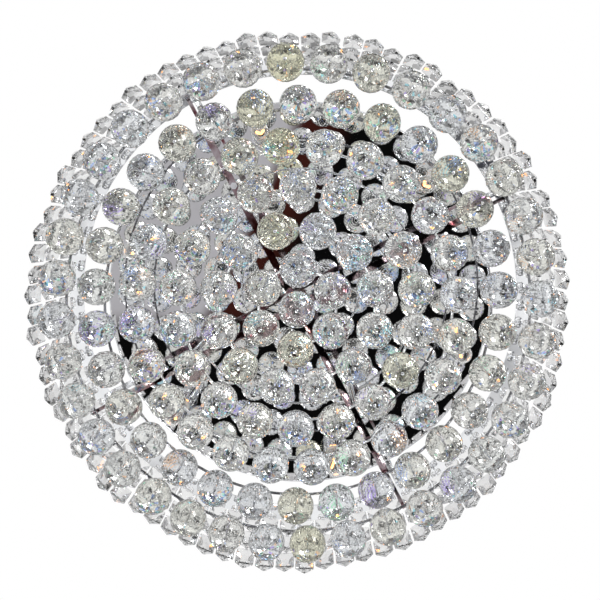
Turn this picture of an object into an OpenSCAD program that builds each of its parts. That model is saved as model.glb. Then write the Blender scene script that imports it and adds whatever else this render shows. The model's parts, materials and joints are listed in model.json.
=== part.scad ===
// Crystal flush mount ceiling light. Millimetres, origin on the ceiling, lamp hangs to -Z.

/* [Overall] */
// depth of the canopy pan below the ceiling
pan_depth = 50; // [30:1:90]
// outside diameter of the canopy pan
pan_d = 488; // [400:1:520]
// sheet thickness of the pan
sheet_t = 1.2; // [0.8:0.1:2]
// height from the mirror face down to the ball centres
ball_drop = 180; // [140:1:240]
// radius of the rolled rim bead
rim_r = 2.4; // [1:0.1:5]

/* [Ball drops] */
// diameter of one crystal ball
ball_d = 40; // [30:0.5:42]
// radial pitch of the ball rings
ring_pitch = 43; // [36:0.5:60]
// height from the ball centres up to the wire rings
ring_lift = 38; // [30:1:60]
// diameter of the ring wire
wire_d = 3; // [2:0.1:5]
// wire diameter of a drop pin
pin_d = 1.2; // [0.8:0.1:1.6]
// running clearance between a pin's eye and the ring wire
eye_gap = 0.05; // [0.02:0.01:0.1]
// diameter of the drilled hole in a ball
ball_bore_d = 1.5; // [1.3:0.1:3]
// diameter of the pin's foot
foot_d = 4; // [2:0.1:8]
// thickness of the pin's foot
foot_t = 0.8; // [0.4:0.1:2]
// turn of ring 1 about the axis
phase_1 = 32.1; // [0:0.1:60]
// turn of ring 2
phase_2 = 15; // [0:0.1:30]
// turn of ring 3
phase_3 = 10.5; // [0:0.1:20]
// turn of ring 4
phase_4 = 9.6; // [0:0.1:15]
// turn of ring 5
phase_5 = 6.4; // [0:0.1:12]
// turn of ring 6
phase_6 = 7.4; // [0:0.1:10]

/* [Frame] */
// direction of the first cross bar
bar_a = 62.2; // [50:0.1:70]
// width of the cross bars
bar_w = 8; // [6:0.5:14]
// width of the bars' outer ends
bar_tip_w = 4; // [3:0.5:8]
// thickness of the cross bars
bar_t = 4; // [3:0.5:8]
// free height between a pin's eye and the bar above it
eye_room = 0.75; // [0.4:0.05:3]
// length of a lug that holds a ring, along the bar
lug_l = 5; // [4:0.5:8]
// radius at which the posts stand
post_r = 150; // [140:1:160]
// diameter of a hanger post
post_d = 7; // [6:0.5:8]
// diameter of a post's spigots
spigot_d = 4; // [3:0.5:5]
// width across flats of the small nuts
nut_af = 7; // [6:0.5:8]
// height of the small nuts
nut_h = 3.2; // [2:0.1:5]

/* [Outer band and arms] */
// radial width of the band, which is centred on the ring of strings
band_w = 20; // [18:1:30]
// thickness of the band
band_t = 3; // [2:0.5:6]
// height of the band's underside above the mirror face
band_lift = 4; // [3:0.5:10]
// width of an arm
arm_w = 8; // [6:0.5:14]
// thickness of an arm
arm_t = 4; // [3:0.5:8]
// height of an arm's foot plate
foot_h = 20; // [14:1:30]
// width of an arm's foot plate
foot_w = 26; // [20:1:40]
// thickness of an arm's foot plate
foot_plate_t = 3; // [2:0.5:5]
// gap between an arm's flat foot and the pan's round wall, at its middle
seat_gap = 0.05; // [0.02:0.01:0.3]
// diameter of the rivets
rivet_d = 4; // [3:0.5:5]

/* [Prism strings] */
// number of strings
strings = 80; // [40:1:88]
// radius of the ring of strings
string_r = 290; // [284:1:320]
// turn of the first string
string_a = 2.8; // [0:0.1:9]
// width across the octagon bead
bead_d = 14; // [10:0.5:18]
// thickness of the octagon bead
bead_t = 8; // [5:0.5:12]
// length of one prism
prism_l = 50; // [48:1:63]
// width of one prism across its broad inner face
prism_w = 21; // [16:0.5:22]
// thickness of one prism
prism_t = 8; // [6:0.5:9]
// distance from a string's axis to a prism's inner face
prism_in = 3; // [2:0.5:4]
// width of a prism's narrow outer face
back_w = 8; // [4:0.5:12]
// bevel of the long edges beside the inner face
bevel = 1; // [0.5:0.1:2]
// thickness left at a prism's tip
tip_t = 1; // [0.5:0.1:2]
// gap between the pieces of a string
link_gap = 2; // [1:0.5:4]
// gap between the band and a bead
hook_gap = 12; // [6:0.5:18]
// diameter of the string wire
clip_d = 1; // [0.8:0.1:1.4]

/* [Lamps] */
// number of lamps
lamps = 6; // [3:1:8]
// radius of the ring of lamps
lamp_r = 202; // [180:1:215]
// turn of the first lamp
lamp_a = 17.4; // [0:0.1:60]
// outside diameter of the fluted sleeve
sleeve_d = 24; // [18:0.5:28]
// length of the sleeve
sleeve_l = 36; // [30:1:50]
// wall of the sleeve
sleeve_t = 1.4; // [1.3:0.1:2]
// number of flutes
flutes = 24; // [12:1:28]
// radius of the cutter for one flute
flute_r = 1.05; // [0.6:0.05:1.3]
// distance from the sleeve's surface out to the flute cutter's centre
flute_out = 0.35; // [0.2:0.05:0.6]
// diameter of the holder's flange
flange_d = 31; // [26:0.5:38]
// thickness of the flange
flange_t = 2; // [1.5:0.5:4]
// diameter of the threaded nipple
nipple_d = 10; // [8:0.5:12]
// diameter of the glass capsule
bulb_d = 21; // [14:0.5:22]
// length of the glass capsule below its pinch
bulb_l = 66; // [36:1:68]
// width of the pinched base
pinch_w = 12; // [10:0.5:14]
// thickness of the pinched base
pinch_t = 4.6; // [4:0.1:6]
// spacing of the two lamp pins
lamp_pin_s = 9; // [8:0.5:10]
// diameter of a lamp pin
lamp_pin_d = 1; // [0.8:0.1:1.4]
// length of a lamp pin
lamp_pin_l = 12; // [8:1:16]
// sliding clearance all round the pins and the pinch
plug_gap = 0.05; // [0.02:0.01:0.1]

/* [Ceiling fixing and wiring] */
// length of a bracket strap
strap_l = 260; // [240:1:320]
// width of a bracket strap
strap_w = 30; // [24:1:40]
// thickness of a bracket strap
strap_t = 3; // [2:0.5:5]
// radius of the ceiling screw holes
screw_r = 60; // [40:1:80]
// diameter of the ceiling screw holes
screw_hole_d = 6.5; // [4:0.5:8]
// radius of the bracket studs
stud_r = 110; // [95:1:115]
// diameter of the bracket studs
stud_d = 6; // [5:0.5:8]
// diameter of the cable hole in the bracket
cable_hole_d = 20; // [16:1:26]
// diameter of a cap nut
cap_d = 11; // [9:0.5:14]
// diameter of an insulated lead
lead_d = 2.4; // [1.8:0.1:3]
// height of the terminal block
block_h = 18; // [14:1:24]
// direction of the terminal block
block_a = 35; // [30:1:50]

/* [Hidden] */
z_face = -pan_depth;
z_floor = z_face + sheet_t;
z_ball = z_face - ball_drop;
z_ring = z_ball + ring_lift;
pan_r = pan_d / 2;
wire_r = wire_d / 2;
eye_r = wire_r + eye_gap + pin_d / 2;
z_bar = z_ring + eye_r + pin_d / 2 + eye_room;
z_bar_top = z_bar + bar_t;
z_band = z_face + band_lift;
z_band_top = z_band + band_t;
band_ro = string_r + band_w / 2;
band_ri = string_r - band_w / 2;
rivet_r = string_r - band_w / 4;
z_bead = z_band - hook_gap - bead_d / 2;
z_up = z_bead - bead_d / 2 - link_gap;
z_mid = z_up - prism_l - link_gap;
z_low = z_mid - prism_l - link_gap;
prism_out = prism_t - prism_in;
hole_in = clip_d + 1;
prism_hole = clip_d + 3;
taper_in = 7;
hip_a = 24.5;
hip_slope = 3.33;
hole_t = 2 * (tip_t + (prism_in - tip_t) * (prism_hole + clip_d / 2) / taper_in);
bead_half = (bead_t + clip_d) / 2;
link_half = (max(bead_t, hole_t) + clip_d) / 2;
z_sleeve = z_face - flange_t;
core_r = sleeve_d / 2 - sleeve_t;
z_core = z_sleeve - 1;
core_l = sleeve_l - 3;
nipple_in = 5;
recess_h = 6;
z_seat = z_core - core_l + recess_h;
pinch_l = 14;
eps = 0.5;
z_live = z_floor + block_h - 4;
z_neutral = z_live - lead_d - 2;
pole = 11;
block_r = 40;
earth_out = 40;
block_l = 16;
block_w = 36;
live_r = lamp_r - 15;
neutral_r = lamp_r - 8;
tail_s = 1.6;
ring_n = [1, 6, 12, 18, 24, 30, 36];
ring_a = [0, phase_1, phase_2, phase_3, phase_4, phase_5, phase_6];
chrome = [0.86, 0.87, 0.89];
crystal = [0.93, 0.95, 0.97, 0.6];

// Shared shapes

module at_ring(k, i) {
  rotate([0, 0, ring_a[k] + i * 360 / ring_n[k]])
    translate([k * ring_pitch, 0, 0])
      children();
}

module wire_torus(k) {
  translate([0, 0, z_ring])
    rotate_extrude()
      translate([k * ring_pitch, 0])
        circle(d = wire_d);
}

module ball() {
  translate([0, 0, z_ball])
    difference() {
      sphere(d = ball_d);
      cylinder(h = ball_d + 2, d = ball_bore_d, center = true);
      translate([0, 0, -ball_d / 2 - 1])
        cylinder(h = foot_t + 1, d = foot_d);
    }
}

module drop_pin() {
  translate([0, 0, z_ring])
    rotate([90, 0, 0])
      rotate_extrude()
        translate([eye_r, 0])
          circle(d = pin_d);
  translate([0, 0, z_ball - ball_d / 2 + foot_t / 2])
    cylinder(h = ring_lift - eye_r + ball_d / 2 - foot_t / 2, d = pin_d);
  translate([0, 0, z_ball - ball_d / 2])
    cylinder(h = foot_t, d = foot_d);
}

module at_bars() {
  for (q = [0:3])
    rotate([0, 0, bar_a + 90 * q])
      children();
}

module at_lamp(i) {
  rotate([0, 0, lamp_a + i * 360 / lamps])
    translate([lamp_r, 0, 0])
      children();
}

module at_studs() {
  for (q = [0:3])
    rotate([0, 0, 90 * q])
      translate([stud_r, 0, 0])
        children();
}

module at_strings() {
  for (i = [0:strings - 1])
    rotate([0, 0, string_a + i * 360 / strings])
      translate([string_r, 0, 0])
        children();
}

module hex_nut(af, h, bore) {
  difference() {
    cylinder(h = h, d = af / cos(30), $fn = 6);
    translate([0, 0, -1])
      cylinder(h = h + 2, d = bore);
  }
}

module clip_loop(z_top, z_bot, half) {
  for (z = [z_bot, z_top])
    translate([0, 0, z])
      rotate([0, 90, 0])
        cylinder(h = 2 * half + clip_d, d = clip_d, center = true);
  for (s = [-1, 1])
    translate([s * half, 0, z_bot])
      cylinder(h = z_top - z_bot, d = clip_d);
}

module prism_hips(z_half, turn) {
  half_l = prism_l / 2;
  translate([0, 0, z_half])
    rotate([0, 0, turn])
      rotate([90, 0, 0])
        linear_extrude(height = 3 * prism_w, center = true)
          polygon([[-prism_w, -half_l], [0, -half_l], [half_l / hip_slope, 0],
            [0, half_l], [-prism_w, half_l]]);
}

module prism(z_top, low_hole) {
  half_l = prism_l / 2;
  z_half = z_top - half_l;
  difference() {
    intersection() {
      translate([0, 0, z_half - half_l])
        linear_extrude(height = prism_l)
          polygon([[-prism_in, -prism_w / 2 + bevel], [-prism_in + bevel, -prism_w / 2],
            [prism_out, -back_w / 2], [prism_out, back_w / 2],
            [-prism_in + bevel, prism_w / 2], [-prism_in, prism_w / 2 - bevel]]);
      prism_hips(z_half, -hip_a);
      prism_hips(z_half, hip_a);
      translate([0, 0, z_half])
        rotate([90, 0, 0])
          linear_extrude(height = 3 * prism_w, center = true)
            polygon([[-tip_t, -half_l], [prism_t, -half_l], [prism_t, half_l], [-tip_t, half_l],
              [-prism_in - eps, half_l - taper_in], [-prism_in - eps, -half_l + taper_in]]);
    }
    translate([0, 0, z_top - prism_hole])
      rotate([0, 90, 0])
        cylinder(h = 2 * prism_t, d = clip_d, center = true);
    if (low_hole)
      translate([0, 0, z_top - prism_l + prism_hole])
        rotate([0, 90, 0])
          cylinder(h = 2 * prism_t, d = clip_d, center = true);
  }
}

module bulb(i) {
  at_lamp(i) {
    translate([-pinch_t / 2, -pinch_w / 2, z_seat - pinch_l])
      cube([pinch_t, pinch_w, pinch_l]);
    for (s = [-1, 1])
      translate([0, s * lamp_pin_s / 2, z_seat - 2])
        cylinder(h = lamp_pin_l + 2, d = lamp_pin_d);
    translate([0, 0, z_seat - pinch_l - bulb_l + bulb_d / 2]) {
      cylinder(h = bulb_l - bulb_d / 2 + 4, d = bulb_d);
      sphere(d = bulb_d);
    }
  }
}

// Ceiling fixing

module ceiling_bracket() {
  color([0.7, 0.7, 0.68])
    difference() {
      union() {
        translate([-strap_l / 2, -strap_w / 2, -strap_t])
          cube([strap_l, strap_w, strap_t]);
        translate([-strap_w / 2, -strap_l / 2, -strap_t])
          cube([strap_w, strap_l, strap_t]);
      }
      translate([0, 0, -strap_t - 1])
        cylinder(h = strap_t + 2, d = cable_hole_d);
      for (q = [0:3])
        rotate([0, 0, 90 * q])
          translate([screw_r, 0, -strap_t - 1])
            cylinder(h = strap_t + 2, d = screw_hole_d);
    }
}

module bracket_studs() {
  color([0.75, 0.75, 0.72])
    at_studs()
      translate([0, 0, z_face - cap_d / 2 - 2])
        cylinder(h = pan_depth - strap_t + cap_d / 2 + 2, d = stud_d);
}

module cap_nuts() {
  color(chrome)
    at_studs()
      difference() {
        union() {
          translate([0, 0, z_face - cap_d / 2])
            cylinder(h = cap_d / 2, d = cap_d);
          translate([0, 0, z_face - cap_d / 2])
            sphere(d = cap_d);
        }
        translate([0, 0, z_face])
          cylinder(h = cap_d, d = cap_d + 2);
        translate([0, 0, z_face - cap_d / 2 - 2])
          cylinder(h = cap_d, d = stud_d);
      }
}

module canopy_pan() {
  color([0.8, 0.8, 0.82])
    difference() {
      rotate_extrude()
        polygon([[0, z_face], [pan_r, z_face], [pan_r, 0], [pan_r - sheet_t, 0],
          [pan_r - sheet_t, z_floor], [0, z_floor]]);
      at_studs()
        translate([0, 0, z_face - 1])
          cylinder(h = sheet_t + 2, d = stud_d + 0.6);
      for (i = [0:lamps - 1])
        at_lamp(i)
          translate([0, 0, z_face - 1])
            cylinder(h = sheet_t + 2, d = nipple_d);
      at_bars() {
        translate([post_r, 0, z_face - 1])
          cylinder(h = sheet_t + 2, d = spigot_d);
        for (s = [-1, 1])
          translate([pan_r - sheet_t - 2, s * foot_w / 3.2, z_band_top + foot_h * 0.65])
            rotate([0, 90, 0])
              cylinder(h = sheet_t + 4, d = rivet_d);
      }
    }
}

module rim_bead() {
  color(chrome)
    rotate_extrude()
      intersection() {
        translate([pan_r, z_face + rim_r])
          circle(r = rim_r);
        translate([pan_r, z_face])
          square([rim_r, 2 * rim_r]);
      }
}

// Wiring

module cable_grommet() {
  color([0.12, 0.12, 0.12])
    difference() {
      union() {
        translate([0, 0, -strap_t])
          cylinder(h = strap_t, d = cable_hole_d);
        translate([0, 0, -strap_t - 2])
          cylinder(h = 2, d = cable_hole_d + 5);
      }
      translate([0, 0, -strap_t - 3])
        cylinder(h = strap_t + 4, d = cable_hole_d - 8);
    }
}

module at_block() {
  rotate([0, 0, block_a])
    translate([block_r, 0, 0])
      children();
}

module terminal_block() {
  color([0.92, 0.9, 0.85])
    difference() {
      at_block()
        translate([-block_l / 2, -block_w / 2, z_floor])
          cube([block_l, block_w, block_h]);
      for (s = [-1:1])
        at_block() {
          translate([0, s * pole, z_floor + block_h - 5])
            cylinder(h = 6, d = 5);
          translate([-block_l / 2 - 1, s * pole, z_neutral])
            rotate([0, 90, 0])
              cylinder(h = block_l / 2, d = lead_d);
        }
    }
}

module terminal_screws() {
  color([0.8, 0.65, 0.3]) {
    for (s = [-1:1])
      at_block()
        translate([0, s * pole, z_floor + block_h - 5])
          difference() {
            cylinder(h = 4, d = 5);
            translate([-3, -0.4, 3])
              cube([6, 0.8, 2]);
          }
    at_block()
      translate([earth_out, 0, z_floor])
        cylinder(h = 6, d = 8);
  }
}

module lead_run(r_ring, z_lead, side) {
  translate([0, 0, z_lead])
    rotate_extrude()
      translate([r_ring, 0])
        circle(d = lead_d);
  at_block()
    translate([block_l / 2, side * pole, z_lead])
      rotate([0, 90, 0])
        cylinder(h = r_ring - block_r - block_l / 2 - 0.3, d = lead_d);
  for (i = [0:lamps - 1])
    at_lamp(i) {
      translate([r_ring - lamp_r, side * tail_s, z_lead])
        rotate([0, 90, 0])
          cylinder(h = lamp_r - r_ring, d = lead_d);
      translate([0, side * tail_s, z_lead])
        sphere(d = lead_d);
      translate([0, side * tail_s, z_core])
        cylinder(h = z_lead - z_core, d = lead_d);
    }
}

module live_leads() {
  color([0.45, 0.28, 0.16])
    lead_run(live_r, z_live, -1);
}

module neutral_leads() {
  color([0.2, 0.35, 0.7])
    lead_run(neutral_r, z_neutral, 1);
}

module earth_lead() {
  color([0.45, 0.65, 0.2])
    at_block() {
      translate([block_l / 2, 0, z_floor + 6 + lead_d / 2])
        rotate([0, 90, 0])
          cylinder(h = earth_out - block_l / 2 + 2, d = lead_d);
    }
}

// Lampholders and bulbs

module holder_nipples() {
  color([0.75, 0.75, 0.72])
    for (i = [0:lamps - 1])
      at_lamp(i)
        translate([0, 0, z_core - nipple_in])
          difference() {
            cylinder(h = z_floor + 8 - z_core + nipple_in, d = nipple_d);
            translate([0, 0, nipple_in])
              cylinder(h = 30, d = nipple_d - 3);
          }
}

module holder_nuts() {
  color([0.75, 0.75, 0.72])
    for (i = [0:lamps - 1])
      at_lamp(i)
        translate([0, 0, z_floor])
          hex_nut(nipple_d + 5, 4, nipple_d);
}

module holder_flanges() {
  color(chrome)
    for (i = [0:lamps - 1])
      at_lamp(i)
        translate([0, 0, z_sleeve])
          difference() {
            cylinder(h = flange_t, d = flange_d);
            translate([0, 0, -1])
              cylinder(h = flange_t + 2, d = nipple_d);
          }
}

module holder_sleeves() {
  color(chrome)
    for (i = [0:lamps - 1])
      at_lamp(i)
        translate([0, 0, z_sleeve - sleeve_l])
          linear_extrude(height = sleeve_l)
            difference() {
              circle(d = sleeve_d);
              circle(r = core_r);
              for (j = [0:flutes - 1])
                rotate([0, 0, j * 360 / flutes])
                  translate([sleeve_d / 2 + flute_out, 0])
                    circle(r = flute_r);
            }
}

module holder_cores() {
  color([0.93, 0.92, 0.88])
    for (i = [0:lamps - 1])
      at_lamp(i)
        difference() {
          translate([0, 0, z_core - core_l])
            cylinder(h = core_l, r = core_r);
          translate([0, 0, z_core - nipple_in])
            cylinder(h = nipple_in + 1, d = nipple_d);
          translate([-pinch_t / 2 - plug_gap, -pinch_w / 2 - plug_gap, z_seat - recess_h - 1])
            cube([pinch_t + 2 * plug_gap, pinch_w + 2 * plug_gap, recess_h + 1]);
          for (s = [-1, 1])
            translate([0, s * lamp_pin_s / 2, z_seat - 1])
              cylinder(h = lamp_pin_l + 2, d = lamp_pin_d + 2 * plug_gap);
        }
}

module bulb_node(i) {
  color([0.98, 0.93, 0.8, 0.7])
    bulb(i);
}

// Outer band and its arms

module band_arms() {
  color(chrome)
    at_bars()
      difference() {
        union() {
          translate([pan_r + seat_gap, -arm_w / 2, z_band_top])
            cube([string_r - 2 - pan_r - seat_gap, arm_w, arm_t]);
          translate([pan_r + seat_gap, -foot_w / 2, z_band_top])
            cube([foot_plate_t, foot_w, foot_h]);
        }
        for (s = [-1, 1])
          translate([pan_r - 3, s * foot_w / 3.2, z_band_top + foot_h * 0.65])
            rotate([0, 90, 0])
              cylinder(h = foot_plate_t + 5, d = rivet_d);
        translate([rivet_r, 0, z_band_top - 1])
          cylinder(h = arm_t + 2, d = rivet_d);
      }
}

module band_rivets() {
  color([0.8, 0.8, 0.8])
    at_bars() {
      for (s = [-1, 1])
        translate([0, s * foot_w / 3.2, z_band_top + foot_h * 0.65])
          rotate([0, 90, 0])
            union() {
              translate([0, 0, pan_r - sheet_t - 2])
                cylinder(h = sheet_t + foot_plate_t + 3, d = rivet_d);
              translate([0, 0, pan_r + seat_gap + foot_plate_t])
                cylinder(h = 1.5, d = rivet_d + 3);
            }
      translate([rivet_r, 0, z_band - 1.5])
        cylinder(h = band_t + arm_t + 2.5, d = rivet_d);
      translate([rivet_r, 0, z_band - 1.5])
        cylinder(h = 1.5, d = rivet_d + 3);
    }
}

module outer_band() {
  color(chrome)
    difference() {
      translate([0, 0, z_band])
        difference() {
          cylinder(h = band_t, r = band_ro);
          translate([0, 0, -1])
            cylinder(h = band_t + 2, r = band_ri);
        }
      at_strings()
        translate([0, 0, z_band - 1])
          cylinder(h = band_t + 2, d = clip_d);
      at_bars()
        translate([rivet_r, 0, z_band - 1])
          cylinder(h = band_t + 2, d = rivet_d);
    }
}

// Strings of octagon beads and prisms

module string_hooks() {
  color(chrome)
    at_strings() {
      translate([0, 0, z_bead + bead_d / 2 + 1])
        cylinder(h = z_band_top - z_bead - bead_d / 2 - 1 + 0.8, d = clip_d);
      translate([0, 0, z_band_top])
        cylinder(h = 0.8, d = clip_d + 2);
      clip_loop(z_bead + bead_d / 2 + 1, z_bead + bead_d / 2 - hole_in, bead_half);
    }
}

module octagon_beads() {
  color(crystal)
    at_strings()
      translate([0, 0, z_bead])
        difference() {
          intersection() {
            rotate([0, 90, 0])
              rotate([0, 0, 22.5])
                cylinder(h = bead_t, d = bead_d / cos(22.5), center = true, $fn = 8);
            rotate([90, 0, 0])
              linear_extrude(height = bead_d + 2, center = true)
                polygon([[-bead_t / 2, -2], [-bead_t / 4, -bead_d / 2], [bead_t / 4, -bead_d / 2],
                  [bead_t / 2, -2], [bead_t / 2, 2], [bead_t / 4, bead_d / 2],
                  [-bead_t / 4, bead_d / 2], [-bead_t / 2, 2]]);
            linear_extrude(height = bead_d + 2, center = true)
              polygon([[-bead_t / 2, -2], [-bead_t / 4, -bead_d / 2], [bead_t / 4, -bead_d / 2],
                [bead_t / 2, -2], [bead_t / 2, 2], [bead_t / 4, bead_d / 2],
                [-bead_t / 4, bead_d / 2], [-bead_t / 2, 2]]);
          }
          for (s = [-1, 1])
            translate([0, 0, s * (bead_d / 2 - hole_in)])
              rotate([0, 90, 0])
                cylinder(h = bead_t + 2, d = clip_d, center = true);
        }
}

module string_clips() {
  color(chrome)
    at_strings() {
      clip_loop(z_bead - bead_d / 2 + hole_in, z_up - prism_hole, link_half);
      clip_loop(z_up - prism_l + prism_hole, z_mid - prism_hole, link_half);
      clip_loop(z_mid - prism_l + prism_hole, z_low - prism_hole, link_half);
    }
}

module upper_prisms() {
  color(crystal)
    at_strings()
      prism(z_up, true);
}

module middle_prisms() {
  color(crystal)
    at_strings()
      prism(z_mid, true);
}

module lower_prisms() {
  color(crystal)
    at_strings()
      prism(z_low, false);
}

// Posts, bars and wire rings

module hanger_posts() {
  color(chrome)
    at_bars()
      translate([post_r, 0, 0]) {
        translate([0, 0, z_bar_top])
          cylinder(h = z_face - z_bar_top, d = post_d);
        translate([0, 0, z_bar - nut_h - 1])
          cylinder(h = z_floor + nut_h + 1 - z_bar + nut_h + 1, d = spigot_d);
      }
}

module post_nuts() {
  color(chrome)
    at_bars()
      translate([post_r, 0, 0]) {
        translate([0, 0, z_bar - nut_h])
          hex_nut(nut_af, nut_h, spigot_d);
        translate([0, 0, z_floor])
          hex_nut(nut_af, nut_h, spigot_d);
      }
}

module cross_bars() {
  color(chrome)
    difference() {
      union() {
        for (q = [0, 1])
          rotate([0, 0, bar_a + 90 * q]) {
            translate([0, 0, z_bar + bar_t / 2])
              cube([2 * (5 * ring_pitch + lug_l / 2), bar_w, bar_t], center = true);
            translate([0, 0, z_bar + bar_t / 2])
              cube([2 * (6 * ring_pitch + lug_l / 2), bar_tip_w, bar_t], center = true);
            for (k = [1 + q:6])
              for (s = [-1, 1])
                translate([s * k * ring_pitch - lug_l / 2, -bar_tip_w / 2, z_ring])
                  cube([lug_l, bar_tip_w, z_bar - z_ring + bar_t / 2]);
          }
        rotate([0, 0, bar_a]) {
          translate([0, 0, z_ring])
            rotate([0, 90, 0])
              cylinder(h = 13, d = wire_d, center = true);
          for (s = [-1, 1])
            translate([s * 5.5 - 1.5, -bar_tip_w / 2, z_ring - wire_r])
              cube([3, bar_tip_w, z_bar - z_ring + wire_r + bar_t / 2]);
        }
      }
      for (k = [1:6])
        wire_torus(k);
      at_bars()
        translate([post_r, 0, z_bar - 1])
          cylinder(h = bar_t + 2, d = spigot_d);
    }
}

module wire_ring(k) {
  color(chrome)
    wire_torus(k);
}

// Ball drops

module ball_ring(k) {
  color(crystal)
    for (i = [0:ring_n[k] - 1])
      at_ring(k, i)
        ball();
}

module ring_pins() {
  color(chrome)
    for (k = [2:6])
      for (i = [0:ring_n[k] - 1])
        at_ring(k, i)
          drop_pin();
}

module centre_ball() {
  color(crystal)
    ball();
}

module centre_pin() {
  color(chrome)
    rotate([0, 0, bar_a - 90])
      drop_pin();
}

module inner_ball(i) {
  color(crystal)
    at_ring(1, i)
      ball();
}

module inner_pin(i) {
  color(chrome)
    at_ring(1, i)
      drop_pin();
}

ceiling_bracket();
bracket_studs();
cap_nuts();
canopy_pan();
rim_bead();
cable_grommet();
terminal_block();
terminal_screws();
live_leads();
neutral_leads();
earth_lead();
holder_nipples();
holder_nuts();
holder_flanges();
holder_sleeves();
holder_cores();
bulb_node(0);  // bulb_1
bulb_node(1);  // bulb_2
bulb_node(2);  // bulb_3
bulb_node(3);  // bulb_4
bulb_node(4);  // bulb_5
bulb_node(5);  // bulb_6
band_arms();
band_rivets();
outer_band();
string_hooks();
octagon_beads();
string_clips();
upper_prisms();
middle_prisms();
lower_prisms();
hanger_posts();
post_nuts();
cross_bars();
wire_ring(1);  // wire_ring_1
wire_ring(2);  // wire_ring_2
wire_ring(3);  // wire_ring_3
wire_ring(4);  // wire_ring_4
wire_ring(5);  // wire_ring_5
wire_ring(6);  // wire_ring_6
ball_ring(2);  // ball_ring_2
ball_ring(3);  // ball_ring_3
ball_ring(4);  // ball_ring_4
ball_ring(5);  // ball_ring_5
ball_ring(6);  // ball_ring_6
ring_pins();
centre_ball();
centre_pin();
inner_ball(0);  // inner_ball_1
inner_ball(1);  // inner_ball_2
inner_ball(2);  // inner_ball_3
inner_ball(3);  // inner_ball_4
inner_ball(4);  // inner_ball_5
inner_ball(5);  // inner_ball_6
inner_pin(0);  // inner_pin_1
inner_pin(1);  // inner_pin_2
inner_pin(2);  // inner_pin_3
inner_pin(3);  // inner_pin_4
inner_pin(4);  // inner_pin_5
inner_pin(5);  // inner_pin_6
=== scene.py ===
"""Looks of the crystal flush mount ceiling light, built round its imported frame.

Metres. The ceiling is the plane z = 0 and the light hangs towards -Z.
"""
import json
import math
import random

import bmesh
import bpy
from mathutils import Matrix, Vector


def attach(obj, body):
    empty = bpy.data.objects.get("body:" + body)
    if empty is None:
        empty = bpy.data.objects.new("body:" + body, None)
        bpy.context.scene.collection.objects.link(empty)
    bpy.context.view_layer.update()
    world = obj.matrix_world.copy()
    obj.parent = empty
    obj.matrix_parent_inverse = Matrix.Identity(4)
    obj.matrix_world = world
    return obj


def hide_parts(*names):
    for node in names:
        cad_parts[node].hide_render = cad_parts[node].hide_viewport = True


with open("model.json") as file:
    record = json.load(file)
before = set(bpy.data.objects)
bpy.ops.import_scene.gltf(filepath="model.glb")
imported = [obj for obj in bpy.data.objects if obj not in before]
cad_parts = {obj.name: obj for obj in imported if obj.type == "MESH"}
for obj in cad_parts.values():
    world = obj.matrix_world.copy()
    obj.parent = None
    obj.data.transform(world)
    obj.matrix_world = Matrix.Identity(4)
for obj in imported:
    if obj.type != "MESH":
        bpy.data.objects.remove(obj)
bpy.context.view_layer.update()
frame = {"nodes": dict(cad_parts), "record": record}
nodes = frame["nodes"]

MM = 0.001
NEAR = 1e-6

# Balls, ring by ring from the middle one. Each ball of the first two rings swings on its own.
BALL_R = 20 * MM
BALL_Z = -230 * MM
RING_PITCH = 43 * MM
BALLS_IN_RING = [1, 6, 12, 18, 24, 30, 36]
RING_TURN = [0, 32.1, 15, 10.5, 9.6, 6.4, 7.4]
STILL_RINGS = range(2, len(BALLS_IN_RING))
BALL_SEGMENTS = 20
BALL_ROWS = 14
STAR_ANGLE = math.radians(27)
STAR_SHARE = 0.5
CUT_SEED = 5
CUT_DEPTH = 0.12 * MM
CUT_TURN = 0.01
BORE_R = 0.78 * MM
BORE_TOP = BALL_R * 0.985
ORDER_LEVELS = 10000
ORDER_GAP = 10

# Pins. The dome of a foot is given in shares of its radius and height.
RING_Z = -192 * MM
BAR_TURN = 62.2
PIN_R = 0.6 * MM
EYE_R = 2.15 * MM
FOOT_R = 2 * MM
FOOT_H = 0.8 * MM
FOOT_DOME = [(0, 0), (0.25, 0.03), (0.5, 0.16), (0.75, 0.40), (0.92, 0.68), (1, 1), (0, 1)]
SEAT_R = FOOT_R * 1.02
SEAT_EDGE = BALL_R * 0.98

# Tints of the balls' facets, with painted light: painted shade per facet, painted fire, and each
# ring painted lighter or darker. A ball's share of olive is given by its ring and its place in it.
TINT_SEED = 11
# Painted light by ring: the inner rings' balls painted lighter, the outer ones darker
RING_PAINTED_LIGHT = [1.06, 1.05, 1.04, 1.04, 1.03, 0.98, 0.97]
OLIVE_TINT = (0.87, 0.855, 0.64)
OLIVE_BALLS = {
    (6, 26): 1.0, (4, 17): 1.0, (5, 21): 0.8, (3, 1): 0.7, (6, 8): 0.7, (2, 8): 0.65,
    (1, 1): 0.65, (5, 26): 0.65, (5, 24): 0.65, (6, 28): 0.5, (5, 27): 0.45, (4, 16): 0.45,
    (2, 4): 0.45, (5, 7): 0.45, (5, 19): 0.35, (5, 17): 0.35,
}
CLEAR_TINTS = [(0.96, 0.97, 0.95), (0.94, 0.96, 0.98), (0.97, 0.97, 0.91), (0.96, 0.96, 0.93)]
# Painted shade: shares by which single facets are darkened
PAINTED_FACET_SHADES = (0.72, 0.88, 0.95, 1.0, 1.0)
# Painted fire: colours that cut crystal splits from light, painted on single facets; the shares
# below put more of it on the upper facets and on one side of the lower ones
PAINTED_FIRE_TINTS = [
    (0.22, 0.38, 1.0), (0.30, 0.45, 1.0), (0.25, 0.80, 1.0),
    (0.45, 0.32, 1.0), (0.40, 1.0, 0.62), (1.0, 0.52, 0.28),
]
UPPER_PAINTED_FIRE = 0.06
USUAL_PAINTED_FIRE = 0.008
LOWER_PAINTED_FIRES = (0.02, 0.03, 0.07, 0.32)
UPPER_FACETS = 0.3
LOWER_FACETS = -0.5
PAINTED_FIRE_SLANT = 0.6
# Fine radial streaks of painted shade on the balls
LINES_AROUND = 16
LINES_ALONG = 0.8
LINES_RANGE = 900

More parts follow.
